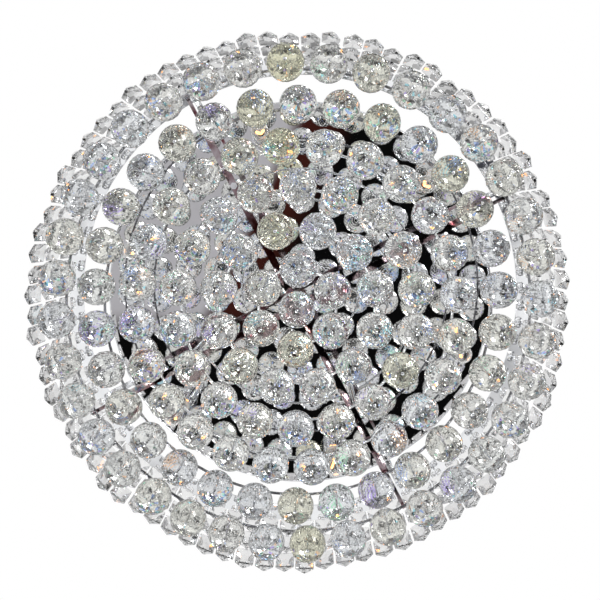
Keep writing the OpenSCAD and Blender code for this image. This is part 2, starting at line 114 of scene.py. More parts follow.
# Lamps
LAMPS = 6
LAMP_RING_R = 202 * MM
LAMP_TURN = 17.4
LAMP_SEAT_Z = -80 * MM
PINCH_L = 14 * MM
PINCH_W = 12 * MM
PINCH_T = 4.6 * MM
PINCH_BEVEL = 0.6 * MM
QUARTZ_R = 10.5 * MM
QUARTZ_L = 66 * MM
QUARTZ_WALL = 0.9 * MM
QUARTZ_TOP = LAMP_SEAT_Z - PINCH_L
QUARTZ_LOW = QUARTZ_TOP - QUARTZ_L
DOME_STEPS = 8
SHOULDER = [(QUARTZ_R, 10 * MM), (QUARTZ_R * 0.92, 5 * MM), (QUARTZ_R * 0.62, 1.5 * MM)]
NECK_R = 3.2 * MM
COIL_L = 30 * MM
COIL_R = 1.3 * MM
COIL_WIRE_R = 0.45 * MM
COIL_TURNS = 14
COIL_STEPS = 10 * COIL_TURNS
COIL_LIFT = 16 * MM
COIL_ASIDE = 4.2 * MM
COIL_LEAN = math.radians(7)
SUPPORT_WIRE = {
    "sides": 8, "radius": 0.4 * MM, "length": 32 * MM,
    "aside": 2.6 * MM, "middle_z": QUARTZ_TOP - 14 * MM,
}
CONTACT_PIN = {
    "sides": 12, "radius": 0.5 * MM, "length": 14 * MM,
    "aside": 4.5 * MM, "middle_z": LAMP_SEAT_Z + 5 * MM,
}

# Prism strings. Sways and turns are in degrees, and slopes are the normals of the cut faces.
STRINGS = 80
STRING_R = 290 * MM
STRING_TURN = 2.8
STRING_PIVOT_Z = -70 * MM
STRING_SEED = 29
SWAY_OUT = 1.2
SWAY_ASIDE = 0.25
USUAL_REACH = 6
WIDE_REACH = 14
WIDE_SHARE = 0.2
TIER_TOPS = {"upper_prisms": -74 * MM, "middle_prisms": -126 * MM, "lower_prisms": -178 * MM}
PRISM_L = 50 * MM
PRISM_W = 21 * MM
PRISM_T = 8 * MM
PRISM_IN = 3 * MM
PRISM_TIP_IN = 1 * MM
PRISM_CHAMFER = 1 * MM
PRISM_BEVEL = 0.3 * MM
BACK_SLOPE = (6.5, 7)
HIP_SLOPE = (3.03, 1.38)
GABLE_SLOPE = (-7, 2.5)
LINKS = [(-70 * MM, -78 * MM), (-120 * MM, -130 * MM), (-172 * MM, -182 * MM)]
LINK_HALF = 4.5 * MM
LINK_WIRE_R = 0.5 * MM

# Surfaces
RELIEF_DEPTH = 0.2 * MM
SKIN_UNEVEN = 0.2
HEAT_UNEVEN = 0.7
# Painted shade of the balls' fine streaks, and where it starts
PAINTED_STREAK_SHADE = 0.55
LINE_ENDS = (0.35, 0.45)

# Rooms that metal and glass see. The ends are a pattern's values, from its dark to its light part.
LIT_STRENGTH = 0.6
METAL_ROOM = {"scale": 2.4, "ends": (0.40, 0.52), "dark": 0.10, "light": 0.95}
GLASS_ROOM = {"scale": 3.0, "ends": (0.26, 0.32), "dark": 0.28, "light": 0.88}
WHITE = (1.0, 1.0, 1.0)
METAL_FLOOR = {"scale": 1.2, "ends": (0.38, 0.52), "dark": (0.06, 0.06, 0.07), "light": WHITE}
GLASS_FLOOR = {"scale": 2.2, "ends": (0.14, 0.19), "dark": (0.20, 0.20, 0.21), "light": WHITE}
GLASS_MIDDLE = {
    "scale": 6.0, "ends": (0.44, 0.47), "dark": (0.01, 0.01, 0.01), "light": (0.99, 0.99, 1.0),
}

# Floor, with the dim middle of the room that shows in the mirror
FLOOR_Z = -1.75
FLOOR_HALF = 6.0
FLOOR_PAINT = (0.85, 0.85, 0.85, 1)
DIM_MIDDLE = (-0.025, 0.1425, FLOOR_Z)
DIM_ENDS = (0.66, 0.74)
BLACK = (0.004, 0.004, 0.004)
BROWN_SIDE = (0.055, 0.014, 0.010)
GREY_SIDE = (0.56, 0.55, 0.57)
ACROSS = (-0.9038, -0.4280, 0)
BROWN_ENDS = (0.02, 0.14)
GREY_ENDS = (0.19, 0.25)
BEHIND = (0, 1, 0)
BEHIND_ENDS = (0.28, 0.18)

# Camera
LENS = 48.36
SENSOR = 36
CAMERA_SPOT = (0.01522, -0.08668, -1.08445)
CAMERA_RIGHT = (0.99990, 0, 0.01384)
CAMERA_FORWARD = (-0.01379, 0.08914, 0.99592)

# Sockets of the Mix node for colours; several of them share one name
MIX_FACTOR, MIX_LOW, MIX_HIGH, MIX_RESULT = 0, 6, 7, 2


def add(tree, kind, **values):
    """Adds a node; keys that name inputs set their values, and the others set properties."""
    node = tree.nodes.new(kind)
    for key, value in values.items():
        if key in node.inputs:
            node.inputs[key].default_value = value
        else:
            setattr(node, key, value)
    return node


def spread(tree, source, low, high, ends=(0.3, 0.7), kind="LINEAR"):
    """Maps a pattern's values between the two ends to the range low to high."""
    remap = add(tree, "ShaderNodeMapRange", interpolation_type=kind)
    for name, value in zip(("From Min", "From Max", "To Min", "To Max"), (*ends, low, high)):
        remap.inputs[name].default_value = value
    tree.links.new(source, remap.inputs["Value"])
    return remap.outputs["Result"]


def edge(tree, source, ends):
    """0 before the first end and 1 past the other, with a soft step between them."""
    return spread(tree, source, 0, 1, ends, "SMOOTHSTEP")


def mix_colours(tree, factor, low, high):
    """Mixes two colours, each of them a tuple or another node's output."""
    mix = add(tree, "ShaderNodeMix", data_type="RGBA")
    tree.links.new(factor, mix.inputs[MIX_FACTOR])
    for number, value in ((MIX_LOW, low), (MIX_HIGH, high)):
        if isinstance(value, tuple):
            mix.inputs[number].default_value = (*value, 1)
        else:
            tree.links.new(value, mix.inputs[number])
    return mix.outputs[MIX_RESULT]


def shader(name):
    """A new material with its node tree and Principled shader."""
    mat = bpy.data.materials.new(name)
    mat.use_nodes = True
    tree = mat.node_tree
    return mat, tree, tree.nodes["Principled BSDF"]


def noise(tree, scale, detail=3.0, squash=(1, 1, 1)):
    """Noise on object coordinates, drawn out along an axis if asked."""
    coords = add(tree, "ShaderNodeTexCoord")
    mapping = add(tree, "ShaderNodeMapping", Scale=squash)
    texture = add(tree, "ShaderNodeTexNoise", Scale=scale, Detail=detail)
    tree.links.new(coords.outputs["Object"], mapping.inputs["Vector"])
    tree.links.new(mapping.outputs["Vector"], texture.inputs["Vector"])
    return texture


def vary(tree, texture, low, high, socket):
    """Lets a texture vary one of the shader's values between two levels."""
    tree.links.new(spread(tree, texture.outputs["Fac"], low, high), socket)


def tone(tree, bsdf, texture, dark, light):
    """Varies the base colour between two tones."""
    factor = spread(tree, texture.outputs["Fac"], 0, 1)
    tree.links.new(mix_colours(tree, factor, dark, light), bsdf.inputs["Base Color"])


def grain(tree, bsdf, texture, strength):
    """Puts a texture on the surface as fine relief."""
    bump = add(tree, "ShaderNodeBump", Strength=strength, Distance=RELIEF_DEPTH)
    tree.links.new(texture.outputs["Fac"], bump.inputs["Height"])
    tree.links.new(bump.outputs["Normal"], bsdf.inputs["Normal"])


def plated_metal(name, dark, light, smooth, dull, relief=0.02):
    """Plated or polished metal with faint clouding and handling marks."""
    mat, tree, bsdf = shader(name)
    bsdf.inputs["Metallic"].default_value = 1
    # For the bars and wires these two tones hold a painted reflection; for the rest they are the
    # metal's clouding
    tone(tree, bsdf, noise(tree, scale=60), dark, light)
    vary(tree, noise(tree, scale=240, detail=6), smooth, dull, bsdf.inputs["Roughness"])
    grain(tree, bsdf, noise(tree, scale=900, detail=4), relief)
    return mat


def moulded(name, dark, light, rough, relief=0.1, scale=500, coat=0.0):
    """Plastic, rubber or glaze with a slightly uneven skin."""
    mat, tree, bsdf = shader(name)
    bsdf.inputs["Coat Weight"].default_value = coat
    tone(tree, bsdf, noise(tree, scale=120), dark, light)
    smooth, dull = rough * (1 - SKIN_UNEVEN), rough * (1 + SKIN_UNEVEN)
    vary(tree, noise(tree, scale=300, detail=4), smooth, dull, bsdf.inputs["Roughness"])
    grain(tree, bsdf, noise(tree, scale), relief)
    return mat


def striped_sleeve(name, ground, stripe):
    """Two-colour insulation of the earth lead."""
    mat, tree, bsdf = shader(name)
    bsdf.inputs["Roughness"].default_value = 0.35
    coords = add(tree, "ShaderNodeTexCoord")
    wave = add(tree, "ShaderNodeTexWave", Scale=120, Distortion=0.5, bands_direction="DIAGONAL")
    tree.links.new(coords.outputs["Object"], wave.inputs["Vector"])
    tone(tree, bsdf, wave, ground, stripe)
    return mat


def crystal(name, ior, dull):
    """Cut crystal, with each facet's tint, painted shade and painted fire from cut_tint, and fine
    radial streaks of painted shade along cut_lines.
    """
    mat, tree, bsdf = shader(name)
    bsdf.inputs["Transmission Weight"].default_value = 1
    bsdf.inputs["IOR"].default_value = ior
    tint_and_light = add(tree, "ShaderNodeAttribute", attribute_name="cut_tint")
    spot = add(tree, "ShaderNodeUVMap", uv_map="cut_lines")
    lines = add(tree, "ShaderNodeTexNoise", Scale=1.0, Detail=2.0)
    tree.links.new(spot.outputs["UV"], lines.inputs["Vector"])
    painted_shade = add(tree, "ShaderNodeVectorMath", operation="SCALE")
    tree.links.new(tint_and_light.outputs["Color"], painted_shade.inputs[0])
    # Painted shade: fine streaks darken the tint
    level = spread(tree, lines.outputs["Fac"], PAINTED_STREAK_SHADE, 1.0, LINE_ENDS)
    tree.links.new(level, painted_shade.inputs["Scale"])
    tree.links.new(painted_shade.outputs["Vector"], bsdf.inputs["Base Color"])
    vary(tree, noise(tree, scale=400, detail=5), 0.0, dull, bsdf.inputs["Roughness"])
    return mat


def pressed_glass(name, dark, light, ior, dull, relief):
    """Clear glass of the pressed pieces, with faint draw lines along Z."""
    mat, tree, bsdf = shader(name)
    bsdf.inputs["Transmission Weight"].default_value = 1
    bsdf.inputs["IOR"].default_value = ior
    lines = noise(tree, scale=320, detail=4, squash=(1, 1, 0.06))
    tone(tree, bsdf, lines, dark, light)
    vary(tree, noise(tree, scale=260, detail=5), 0.0, dull, bsdf.inputs["Roughness"])
    grain(tree, bsdf, lines, relief)
    return mat


def glowing(name, base, glow, strength):
    """The hot filament, a little brighter in places."""
    mat, tree, bsdf = shader(name)
    bsdf.inputs["Base Color"].default_value = (*base, 1)
    bsdf.inputs["Emission Color"].default_value = (*glow, 1)
    weak, strong = strength * (1 - HEAT_UNEVEN), strength * (1 + HEAT_UNEVEN)
    heat = noise(tree, scale=700, detail=2)
    vary(tree, heat, weak, strong, bsdf.inputs["Emission Strength"])
    return mat


# The bars' dark wine tones are a painted reflection of the room
BAR_CHROME_PAINTED_REFLECTION = plated_metal("bar_chrome_painted_reflection", (0.14, 0.015, 0.03), (0.60, 0.55, 0.57), 0.03, 0.10)
CHROME = plated_metal("chrome_plate", (0.80, 0.81, 0.83), (0.90, 0.91, 0.93), 0.03, 0.10)
# The wires' dark tones are a painted dark reflection
WIRE_CHROME_PAINTED_DARK = plated_metal("wire_chrome_painted_dark", (0.10, 0.10, 0.11), (0.45, 0.45, 0.47), 0.03, 0.10)
MIRROR = plated_metal(
    "mirror_sheet", (0.70, 0.70, 0.71), (0.74, 0.74, 0.75), 0.01, 0.03, relief=0.004
)
ZINC = plated_metal(
    "zinc_plate", (0.55, 0.55, 0.54), (0.72, 0.72, 0.70), 0.25, 0.45, relief=0.08
)
BRASS = plated_metal(
    "turned_brass", (0.66, 0.48, 0.20), (0.80, 0.62, 0.30), 0.15, 0.30, relief=0.05
)
TUNGSTEN_WIRE = plated_metal("support_wire", (0.45, 0.44, 0.43), (0.60, 0.59, 0.57), 0.25, 0.40)
PORCELAIN = moulded(
    "porcelain_glaze", (0.84, 0.83, 0.79), (0.90, 0.89, 0.86), 0.18,
    relief=0.05, scale=300, coat=0.4,
)
NYLON = moulded("terminal_nylon", (0.82, 0.80, 0.74), (0.88, 0.86, 0.81), 0.45)
RUBBER = moulded("grommet_rubber", (0.02, 0.02, 0.02), (0.045, 0.045, 0.045), 0.6, relief=0.2)
BROWN = moulded("brown_insulation", (0.14, 0.06, 0.03), (0.20, 0.09, 0.05), 0.35)
BLUE = moulded("blue_insulation", (0.03, 0.09, 0.36), (0.05, 0.13, 0.46), 0.35)
EARTH = striped_sleeve("earth_insulation", (0.10, 0.32, 0.04), (0.75, 0.62, 0.05))
CUT_CRYSTAL = crystal("cut_crystal", ior=1.56, dull=0.02)
PRISM_GLASS = pressed_glass(
    "prism_glass", (0.92, 0.92, 0.92), (0.98, 0.98, 0.98), ior=1.52, dull=0.03, relief=0.06
)
QUARTZ = pressed_glass(
    "lamp_quartz", (0.97, 0.96, 0.94), (1.0, 1.0, 0.99), ior=1.46, dull=0.02, relief=0.03
)
HOT_COIL = glowing("hot_filament", base=(0.2, 0.15, 0.1), glow=(1.0, 0.40, 0.12), strength=5)

FINISH_OF_SLOT = {
    "chrome": CHROME,
    "mirror_steel": MIRROR,
    "zinc_steel": ZINC,
    "brass": BRASS,
    "porcelain": PORCELAIN,
    "terminal_plastic": NYLON,
    "black_rubber": RUBBER,
    "brown_lead": BROWN,
    "blue_lead": BLUE,
    "green_lead": EARTH,
    "crystal": PRISM_GLASS,
    "lamp_glass": QUARTZ,
}
FINISH_OF_NODE = {
    "cross_bars": BAR_CHROME_PAINTED_REFLECTION,
    "wire_ring_5": WIRE_CHROME_PAINTED_DARK,
    "wire_ring_6": WIRE_CHROME_PAINTED_DARK,
}


def dress_nodes():
    """Gives each CAD node its own finish, or else that of its slot in the record."""
    for part in frame["record"]["subparts"]:
        finish = FINISH_OF_NODE.get(part["node"]) or FINISH_OF_SLOT[part["material_slot"]]
        materials = nodes[part["node"]].data.materials
        materials.clear()
        materials.append(finish)


def shift(x=0.0, y=0.0, z=0.0):
    """The matrix of a move."""
    return Matrix.Translation((x, y, z))


def turn(angle, axis="Z"):
    """The matrix of a turn."""
    return Matrix.Rotation(angle, 4, axis)


def resize(x, y, z):
    """The matrix of a change of size."""
    return Matrix.Diagonal((x, y, z, 1))


UPRIGHT = turn(math.pi / 2, "X")


def place(bm, verts, matrix):
    """Moves vertices by a matrix."""
    bmesh.ops.transform(bm, matrix=matrix, verts=verts)


def edges_of(bm, verts):
    """The edges between these vertices, in the mesh's own order."""
    chosen = set(verts)
    return [e for e in bm.edges if all(v in chosen for v in e.verts)]


def open_edges(bm):
    """The edges round the mesh's holes."""
    return [e for e in bm.edges if e.is_boundary]


def face_outwards(bm):
    """Turns all normals to the outside."""
    bmesh.ops.recalc_face_normals(bm, faces=bm.faces[:])


def smooth_all(bm):
    """Shades all faces smooth."""
    for face in bm.faces:
        face.smooth = True


def bevel(bm, edges, width, segments):
    """Bevels edges by a width."""
    bmesh.ops.bevel(
        bm, geom=edges, offset=width, segments=segments, profile=0.5, affect="EDGES", material=-1
    )


def spin(bm, verts, edges, steps, turns=1, rise=0.0):
    """Spins a profile round Z: to a closed ring, or to a coil if it rises."""
    bmesh.ops.spin(
        bm, geom=verts + edges, cent=(0, 0, 0), axis=(0, 0, 1), dvec=(0, 0, rise / steps),
        angle=turns * math.tau, steps=steps, use_merge=not rise,
    )


def spin_wire(bm, radius, wire_r, sides, steps, turns=1, rise=0.0):
    """Bends a round wire to a ring or a coil round Z."""
    wire = bmesh.ops.create_circle(bm, segments=sides, radius=wire_r)["verts"]
    place(bm, wire, shift(x=radius) @ UPRIGHT)
    spin(bm, wire, edges_of(bm, wire), steps, turns, rise)


def spin_outline(bm, outline, steps):
    """Turns a solid from its outline of (radius, height) points."""
    verts = [bm.verts.new((x, 0, z)) for x, z in outline]
    edges = [bm.edges.new(pair) for pair in zip(verts, verts[1:])]
    spin(bm, verts, edges, steps)
    bmesh.ops.remove_doubles(bm, verts=bm.verts[:], dist=NEAR)


def rod(bm, sides, radius, length, matrix):
    """Adds a straight rod along Z, with its middle placed by matrix."""
    verts = bmesh.ops.create_cone(
        bm, cap_ends=True, segments=sides, radius1=radius, radius2=radius, depth=length
    )["verts"]
    place(bm, verts, matrix)


def as_mesh(name, bm):
    """Turns a finished bmesh into a mesh."""
    mesh = bpy.data.meshes.new(name)
    bm.to_mesh(mesh)
    bm.free()
    return mesh


def stamp(bm, template, matrix):
    """Adds a copy of a template mesh at matrix and returns its faces."""
    faces_before = len(bm.faces)
    verts_before = len(bm.verts)
    bm.from_mesh(template)
    bm.verts.ensure_lookup_table()
    bm.faces.ensure_lookup_table()
    place(bm, bm.verts[verts_before:], matrix)
    return bm.faces[faces_before:]


def piece(name, bm, mat, body, replaced=()):
    bm.normal_update()
    mesh = as_mesh(name, bm)
    mesh.materials.append(mat)
    obj = bpy.data.objects.new(name, mesh)
    bpy.context.scene.collection.objects.link(obj)
    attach(obj, body)
    if replaced:
        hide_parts(*replaced)


def ball_order(spot):
    """One number that sorts places on a ball by height and then round its axis.

    Random values are dealt out in this order, so each run gives them to the same places.
    """
    level = round(spot.z / BALL_R * ORDER_LEVELS)
    return level * ORDER_GAP + math.atan2(spot.y, spot.x)


def rim_at(bm, z):
    """The boundary edges that lie at height z."""
    return [e for e in open_edges(bm) if all(abs(v.co.z - z) < NEAR for v in e.verts)]


def step_rim(bm, edges, radius, z):
    """Extrudes a round rim to a new radius and height, and returns the new rim."""
    made = bmesh.ops.extrude_edge_only(bm, edges=edges)["geom"]
    for vert in [g for g in made if isinstance(g, bmesh.types.BMVert)]:
        grow = radius / math.hypot(vert.co.x, vert.co.y)
        place(bm, [vert], shift(z=z - vert.co.z) @ resize(grow, grow, 1))
    return [g for g in made if isinstance(g, bmesh.types.BMEdge)]


def cut_ball_template():
    """One drilled ball: rows of facets, a star of long ones at each end and a seat for the foot."""
    bm = bmesh.new()
    bmesh.ops.create_uvsphere(bm, u_segments=BALL_SEGMENTS, v_segments=BALL_ROWS, radius=BALL_R)
    poles = [v for v in bm.verts if abs(abs(v.co.z) - BALL_R) < NEAR]
    bmesh.ops.delete(bm, geom=poles, context="VERTS")
    angles = [row * math.pi / BALL_ROWS for row in range(1, BALL_ROWS)]
    rows = [[v for v in bm.verts if abs(v.co.z - BALL_R * math.cos(a)) < NEAR] for a in angles]
    for row, (now, verts) in enumerate(zip(angles, rows)):
        then = STAR_ANGLE + row * (math.pi - 2 * STAR_ANGLE) / (BALL_ROWS - 2)
        widen = math.sin(then) / math.sin(now)
        stagger = turn(row % 2 * math.pi / BALL_SEGMENTS)
        place(bm, verts, stagger @ resize(widen, widen, 1))
        place(bm, verts, shift(z=BALL_R * (math.cos(then) - math.cos(now))))
    bmesh.ops.triangulate(bm, faces=bm.faces[:], quad_method="SHORT_EDGE")
    first_z = BALL_R * math.cos(STAR_ANGLE)
    star_r = BALL_R * math.sin(STAR_ANGLE) * STAR_SHARE
    star_z = math.sqrt(BALL_R ** 2 - star_r ** 2)
    top = step_rim(bm, rim_at(bm, first_z), star_r, star_z)
    low = step_rim(bm, rim_at(bm, -first_z), star_r, -star_z)
    chance = random.Random(CUT_SEED)
    for vert in sorted(bm.verts, key=lambda v: ball_order(v.co)):
        sunk = 1 - chance.uniform(0, CUT_DEPTH) / BALL_R
        aside = turn(chance.uniform(-CUT_TURN, CUT_TURN))
        place(bm, [vert], aside @ resize(sunk, sunk, sunk))
    top = step_rim(bm, top, BORE_R, BORE_TOP)
    low = step_rim(bm, low, SEAT_R, -SEAT_EDGE)
    low = step_rim(bm, low, SEAT_R, -BALL_R + FOOT_H)
    low = step_rim(bm, low, BORE_R, -BALL_R + FOOT_H)
    bmesh.ops.bridge_loops(bm, edges=top + low)
    face_outwards(bm)
    bm.verts.sort(key=lambda v: ball_order(v.co))
    bm.faces.sort(key=lambda f: ball_order(f.calc_center_median()))
    return as_mesh("cut_ball", bm)


def pin_template():
    """One wire pin: an eye for the ring wire, a shank through the ball and a foot under it."""
    bm = bmesh.new()
    spin_wire(bm, EYE_R, PIN_R, sides=5, steps=10)
    place(bm, bm.verts[:], shift(z=RING_Z) @ UPRIGHT)
    foot_top = BALL_Z - BALL_R + FOOT_H
    shank_top = RING_Z - EYE_R
    shank_low = foot_top - FOOT_H / 2
    rod(bm, 6, PIN_R, shank_top - shank_low, shift(z=(shank_top + shank_low) / 2))
    outline = [(FOOT_R * share, foot_top - FOOT_H * (1 - rise)) for share, rise in FOOT_DOME]
    spin_outline(bm, outline, steps=12)
    face_outwards(bm)
    return as_mesh("drop_pin", bm)


def tint_facets_and_paint_light(bm, faces, middle, olive, painted_light_of_ring, chance):
    """Tints a ball's facets and paints light on them: clear, darkened by painted shade, or painted
    fire in one of the colours that cut crystal splits from light.
    """
    colours = bm.loops.layers.float_color
    tint_and_light_layer = colours.get("cut_tint") or colours.new("cut_tint")
    uvs = bm.loops.layers.uv
    lines = uvs.get("cut_lines") or uvs.new("cut_lines")
    plain = chance.choice(CLEAR_TINTS)
    # Painted light: the ring's share makes the whole ball lighter or darker
    clear = [(c + (o - c) * olive) * painted_light_of_ring for c, o in zip(plain, OLIVE_TINT)]
    lower_painted_fire = chance.choice(LOWER_PAINTED_FIRES)
    slant = chance.uniform(-PAINTED_FIRE_SLANT, PAINTED_FIRE_SLANT)
    for face in faces:
        out = (face.calc_center_median() - middle) / BALL_R
        # Painted fire, more of it on the upper facets and on one side of the lower ones
        painted_fire = UPPER_PAINTED_FIRE if out.z > UPPER_FACETS else USUAL_PAINTED_FIRE
        if out.z < LOWER_FACETS and out.y > slant * out.x:
            painted_fire = lower_painted_fire
        # Painted shade: single facets darkened
        painted_shade = chance.choice(PAINTED_FACET_SHADES)
        colour = [c * painted_shade for c in clear]
        if chance.random() < painted_fire:
            colour = chance.choice(PAINTED_FIRE_TINTS)
        # Where the fine streaks of painted shade run on this facet
        own = chance.uniform(0, LINES_RANGE)
        facing = Matrix.Rotation(-math.atan2(out.y, out.x), 3, "Z")
        for corner in face.loops:
            corner[tint_and_light_layer] = (*colour, 1)
            spot = facing @ (corner.vert.co - middle)
            around = math.atan2(spot.y, spot.x)
            corner[lines].uv = (own + LINES_AROUND * around, LINES_ALONG * spot.z / BALL_R)


def drop_matrix(ring, index):
    """Where a drop hangs, from the light's axis."""
    angle = math.radians(RING_TURN[ring] + index * 360 / BALLS_IN_RING[ring])
    return turn(angle) @ shift(x=ring * RING_PITCH)


def build_drops():
    """All balls and their pins. The seven inner drops swing, so each has pieces of its own."""
    ball = cut_ball_template()
    pin = pin_template()
    chance = random.Random(TINT_SEED)

    def add_ball(bm, ring, index):
        own_turn = turn(chance.uniform(0, math.tau))
        matrix = drop_matrix(ring, index) @ shift(z=BALL_Z) @ own_turn
        olive = OLIVE_BALLS.get((ring, index), 0)
        faces = stamp(bm, ball, matrix)
        tint_facets_and_paint_light(bm, faces, matrix.translation, olive, RING_PAINTED_LIGHT[ring], chance)

    for ring in STILL_RINGS:
        bm = bmesh.new()
        for index in range(BALLS_IN_RING[ring]):
            add_ball(bm, ring, index)
        piece(f"cut_balls_{ring}", bm, CUT_CRYSTAL, "fixture", [f"ball_ring_{ring}"])

    bm = bmesh.new()
    for ring in STILL_RINGS:
        for index in range(BALLS_IN_RING[ring]):
            stamp(bm, pin, drop_matrix(ring, index))
    piece("drop_pins", bm, CHROME, "fixture", ["ring_pins"])

    across_bar = turn(math.radians(BAR_TURN - 90))
    swinging = [(0, 0, "centre", "")]
    swinging += [(1, i, "inner", f"_{i + 1}") for i in range(BALLS_IN_RING[1])]
    for ring, index, where, number in swinging:
        body = f"{where}_drop{number}"
        bm = bmesh.new()
        add_ball(bm, ring, index)
        name = f"cut_ball_{where}{number}"
        piece(name, bm, CUT_CRYSTAL, body, [f"{where}_ball{number}"])
        bm = bmesh.new()
        stamp(bm, pin, drop_matrix(ring, index) if ring else across_bar)
        name = f"drop_pin_{where}{number}"
        piece(name, bm, CHROME, body, [f"{where}_pin{number}"])


def quartz_template():
    """The lamp's envelope with a thin wall, drawn in to the pinch at its top."""
    bm = bmesh.new()
    outline = [(0, QUARTZ_LOW)]
    for step in range(1, DOME_STEPS + 1):
        angle = step * math.pi / 2 / DOME_STEPS
        rise = QUARTZ_R - QUARTZ_R * math.cos(angle)
        outline.append((QUARTZ_R * math.sin(angle), QUARTZ_LOW + rise))
    outline += [(radius, QUARTZ_TOP - down) for radius, down in SHOULDER]
    outline += [(NECK_R, QUARTZ_TOP), (0, QUARTZ_TOP)]
    spin_outline(bm, outline, steps=28)
    face_outwards(bm)
    inner = bm.copy()
    narrower = 1 - QUARTZ_WALL / QUARTZ_R
    shorter = 1 - 2 * QUARTZ_WALL / QUARTZ_L
    middle = shift(z=(QUARTZ_TOP + QUARTZ_LOW) / 2)
    shrink = middle @ resize(narrower, narrower, shorter) @ middle.inverted()
    place(inner, inner.verts[:], shrink)
    bmesh.ops.reverse_faces(inner, faces=inner.faces[:])
    bm.from_mesh(as_mesh("quartz_inside", inner))
    smooth_all(bm)
    pinch = bmesh.ops.create_cube(bm, size=1)["verts"]
    place(bm, pinch, shift(z=QUARTZ_TOP + PINCH_L / 2) @ resize(PINCH_T, PINCH_W, PINCH_L))
    bevel(bm, edges_of(bm, pinch), PINCH_BEVEL, segments=2)
    return as_mesh("quartz", bm)


def coil_template():
    """The filament: two wound legs in a V along the lamp's axis."""
    bm = bmesh.new()
    spin_wire(bm, COIL_R, COIL_WIRE_R, sides=6, steps=COIL_STEPS, turns=COIL_TURNS, rise=COIL_L)
    bmesh.ops.holes_fill(bm, edges=open_edges(bm), sides=0)
    face_outwards(bm)
    smooth_all(bm)
    leg = as_mesh("coil_leg", bm)
    both = bmesh.new()
    for side in (-1, 1):
        foot = shift(y=side * COIL_ASIDE, z=QUARTZ_LOW + COIL_LIFT)
        stamp(both, leg, foot @ turn(side * COIL_LEAN, "X"))
    return as_mesh("coil", both)


def lamp_wire_template():
    """Support wires beside the coil and the two contact pins on top."""
    bm = bmesh.new()
    for side in (-1, 1):
        for wire in (SUPPORT_WIRE, CONTACT_PIN):
            middle = shift(y=side * wire["aside"], z=wire["middle_z"])
            rod(bm, wire["sides"], wire["radius"], wire["length"], middle)
    face_outwards(bm)
    return as_mesh("lamp_wires", bm)


def build_lamps():
    """The capsule lamps, each riding on the body that pulls out of its holder."""
    quartz, coil, wires = quartz_template(), coil_template(), lamp_wire_template()
    for i in range(LAMPS):
        matrix = turn(math.radians(LAMP_TURN + i * 360 / LAMPS)) @ shift(x=LAMP_RING_R)
        for label, template, mat, slot, replaced in (
            ("envelope", quartz, QUARTZ, "lamp_glass", [f"bulb_{i + 1}"]),
            ("filament", coil, HOT_COIL, "lamp_glass", []),
            ("wires", wires, TUNGSTEN_WIRE, "zinc_steel", []),
        ):
            bm = bmesh.new()
            stamp(bm, template, matrix)
            piece(f"lamp_{i + 1}_{label}", bm, mat, f"lamp_{i + 1}", replaced)


def prism_template():
    """One prism, its top tip at the origin: broad inside, narrow at the back, with pointed ends."""
    bm = bmesh.new()
    bmesh.ops.create_cube(bm, size=1)
    middle = shift(x=PRISM_T / 2 - PRISM_IN, z=-PRISM_L / 2)
    place(bm, bm.verts[:], middle @ resize(PRISM_T, PRISM_W, PRISM_L))
    half_w = PRISM_W / 2
    ends = ((1, 0), (-1, -PRISM_L))
    planes = []
    for side in (-1, 1):
        planes.append(((-PRISM_IN, side * (half_w - PRISM_CHAMFER), 0), (-1, side, 0)))
        side_edge = (-PRISM_IN + PRISM_CHAMFER, side * half_w, 0)
        planes.append((side_edge, (BACK_SLOPE[0], side * BACK_SLOPE[1], 0)))
        for end, z in ends:
            planes.append(((0, 0, z), (HIP_SLOPE[0], side * HIP_SLOPE[1], end)))
    for end, z in ends:
        planes.append(((-PRISM_TIP_IN, 0, z), (GABLE_SLOPE[0], 0, end * GABLE_SLOPE[1])))
    for point, normal in planes:
        whole = bm.verts[:] + bm.edges[:] + bm.faces[:]
        bmesh.ops.bisect_plane(
            bm, geom=whole, dist=NEAR, plane_co=point, plane_no=normal, clear_outer=True
        )
        bmesh.ops.holes_fill(bm, edges=open_edges(bm), sides=0)
    bevel(bm, bm.edges[:], PRISM_BEVEL, segments=1)
    face_outwards(bm)
    return as_mesh("prism", bm)


def link_template(top, low):
    """One oval wire loop between the holes of two pieces of a string."""
    bm = bmesh.new()
    spin_wire(bm, LINK_HALF, LINK_WIRE_R, sides=6, steps=16)
    taller = resize(1, 1, (top - low) / 2 / LINK_HALF)
    place(bm, bm.verts[:], shift(z=(top + low) / 2) @ taller @ UPRIGHT)
    face_outwards(bm)
    smooth_all(bm)
    return as_mesh("link", bm)


def build_strings():
    """The prisms and their loops. Strings hang a little out of true, with each prism turned."""
    chance = random.Random(STRING_SEED)
    pivot = shift(z=STRING_PIVOT_Z)
    hangs = []
    for i in range(STRINGS):
        stand = turn(math.radians(STRING_TURN + i * 360 / STRINGS)) @ shift(x=STRING_R)
        lean = turn(math.radians(chance.uniform(-SWAY_OUT, SWAY_OUT)), "Y")
        lean = lean @ turn(math.radians(chance.uniform(-SWAY_ASIDE, SWAY_ASIDE)), "X")
        hangs.append(stand @ pivot @ lean @ pivot.inverted())
    prism = prism_template()
    for node, top in TIER_TOPS.items():
        bm = bmesh.new()
        for hang in hangs:
            reach = WIDE_REACH if chance.random() < WIDE_SHARE else USUAL_REACH
            own_turn = turn(math.radians(chance.uniform(-reach, reach)))
            stamp(bm, prism, hang @ shift(z=top) @ own_turn)
        piece(f"cut_{node}", bm, PRISM_GLASS, "fixture", [node])
    bm = bmesh.new()
    for top, low in LINKS:
        link = link_template(top, low)
        for hang in hangs:
            stamp(bm, link, hang)
    piece("string_links", bm, CHROME, "fixture", ["string_clips"])


